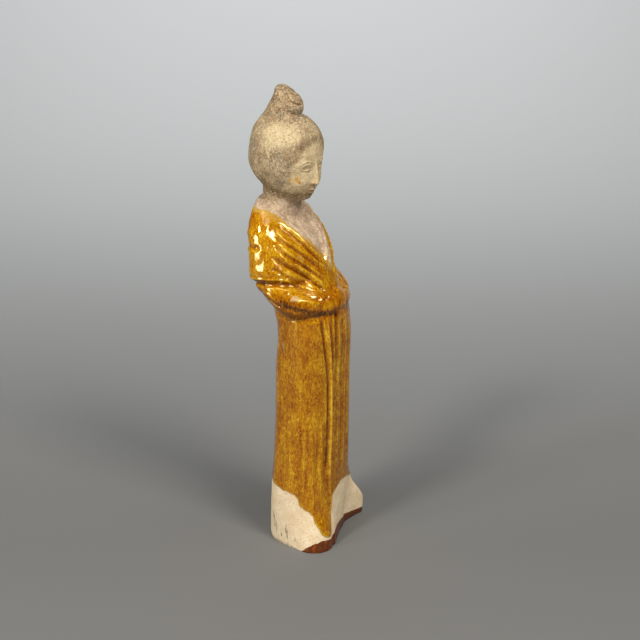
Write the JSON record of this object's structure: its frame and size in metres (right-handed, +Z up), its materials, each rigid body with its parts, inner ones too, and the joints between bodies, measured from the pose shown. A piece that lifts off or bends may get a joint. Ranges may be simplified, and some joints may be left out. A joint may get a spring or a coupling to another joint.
{
  "type": "court lady figure",
  "caption": "Standing court lady in amber-glazed earthenware, with bare clay head and hem, hands joined under a shawl.",
  "frame": {"origin": "on the ground, at the middle of the figure's bounding box", "axes": "+Z up, the figure faces -Y, her right hand is towards -X"},
  "size_m": [0.0688, 0.062, 0.27],
  "materials": {
    "glazed_earthenware": "glossy amber lead glaze over buff clay, the head, neck, chest and hem left bare"
  },
  "bodies": {
    "root": {"court_lady": "glazed_earthenware"}
  },
  "joints": []
}
